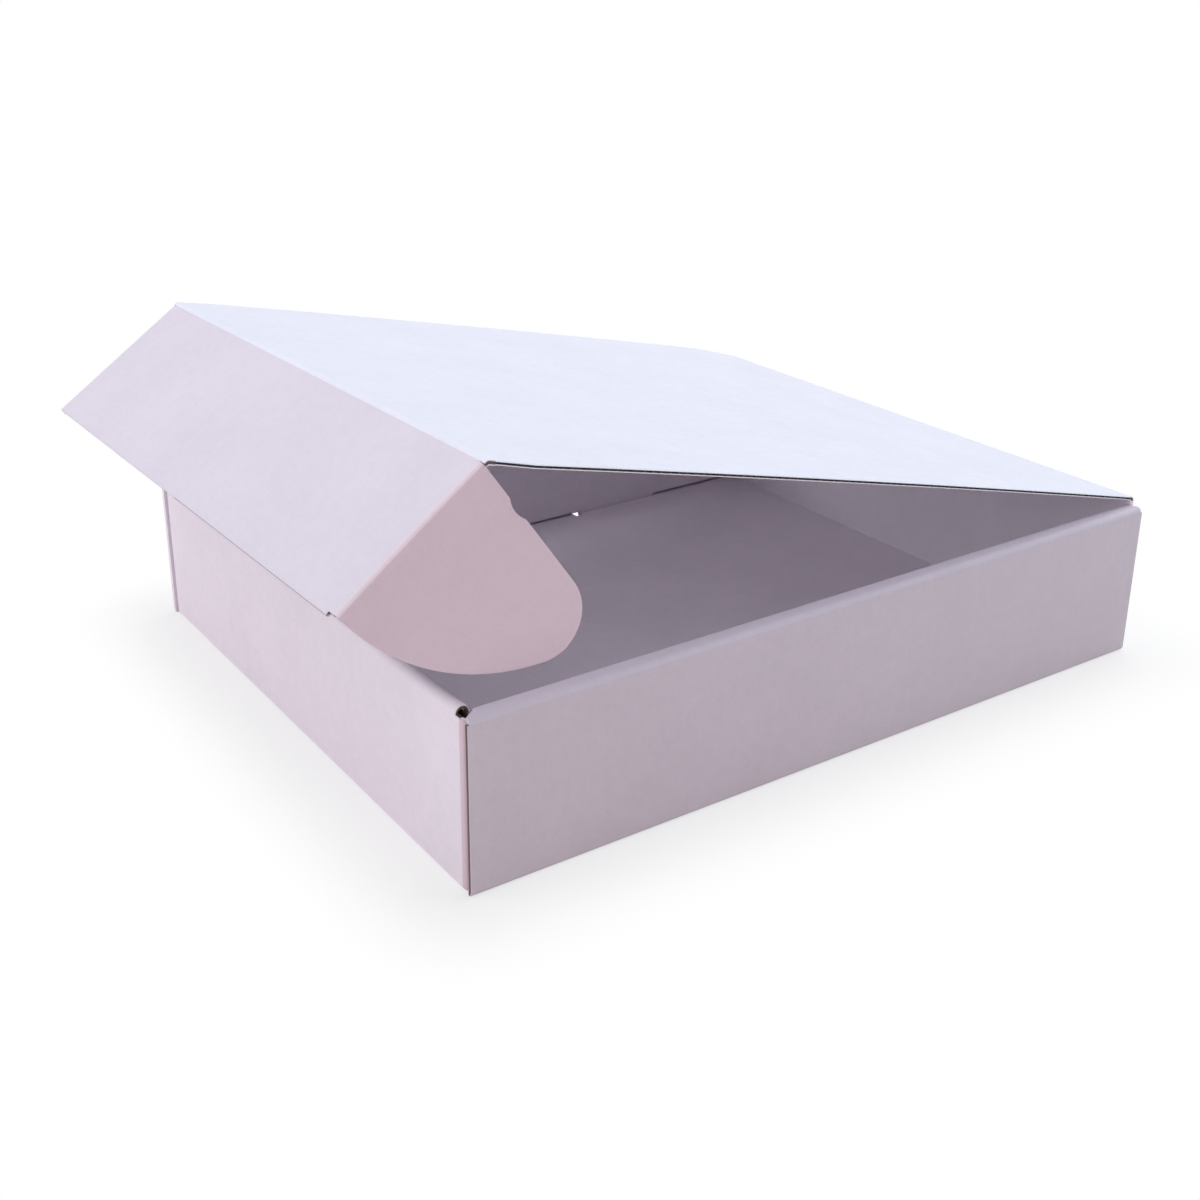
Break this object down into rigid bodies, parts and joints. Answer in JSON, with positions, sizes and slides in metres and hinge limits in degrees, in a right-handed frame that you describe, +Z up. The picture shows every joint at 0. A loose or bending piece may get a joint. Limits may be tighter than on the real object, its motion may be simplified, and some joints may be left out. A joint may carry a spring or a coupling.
{
  "type": "mailer box",
  "caption": "Shallow white fluted-board mailer box with rolled double walls, a hinged lid, a tuck flap and rounded ears, standing part open.",
  "frame": {"origin": "middle of the base's underside", "axes": "+X to the right along the front wall, +Y from the front wall to the rear wall and the lid's crease, +Z up"},
  "size_m": [0.25, 0.3285, 0.1312],
  "materials": {
    "white_board": "matte uncoated white liner on fluted board"
  },
  "bodies": {
    "box": {"box_body": "white_board"},
    "lid": {"lid_panel": "white_board"},
    "flap": {"tuck_flap": "white_board"},
    "ear_left": {"left_ear": "white_board"},
    "ear_right": {"right_ear": "white_board"}
  },
  "joints": [
    {"name": "lid_crease", "type": "hinge", "parent": "box", "child": "lid", "pos_m": [0, 0.1457, 0.0622], "axis": [-1, 0, 0], "range_deg": [-1, 166.2]},
    {"name": "flap_crease", "type": "hinge", "parent": "lid", "child": "flap", "pos_m": [0, -0.13185, 0.13037], "axis": [1, 0, 0], "range_deg": [-47.5, 42.5]},
    {"name": "left_ear_crease", "type": "hinge", "parent": "flap", "child": "ear_left", "pos_m": [-0.1168, -0.13185, 0.13037], "axis": [0, -0.832, -0.5548], "range_deg": [-90, 5]},
    {"name": "right_ear_crease", "type": "hinge", "parent": "flap", "child": "ear_right", "pos_m": [0.1168, -0.13185, 0.13037], "axis": [0, 0.832, 0.5548], "range_deg": [-90, 5]}
  ]
}
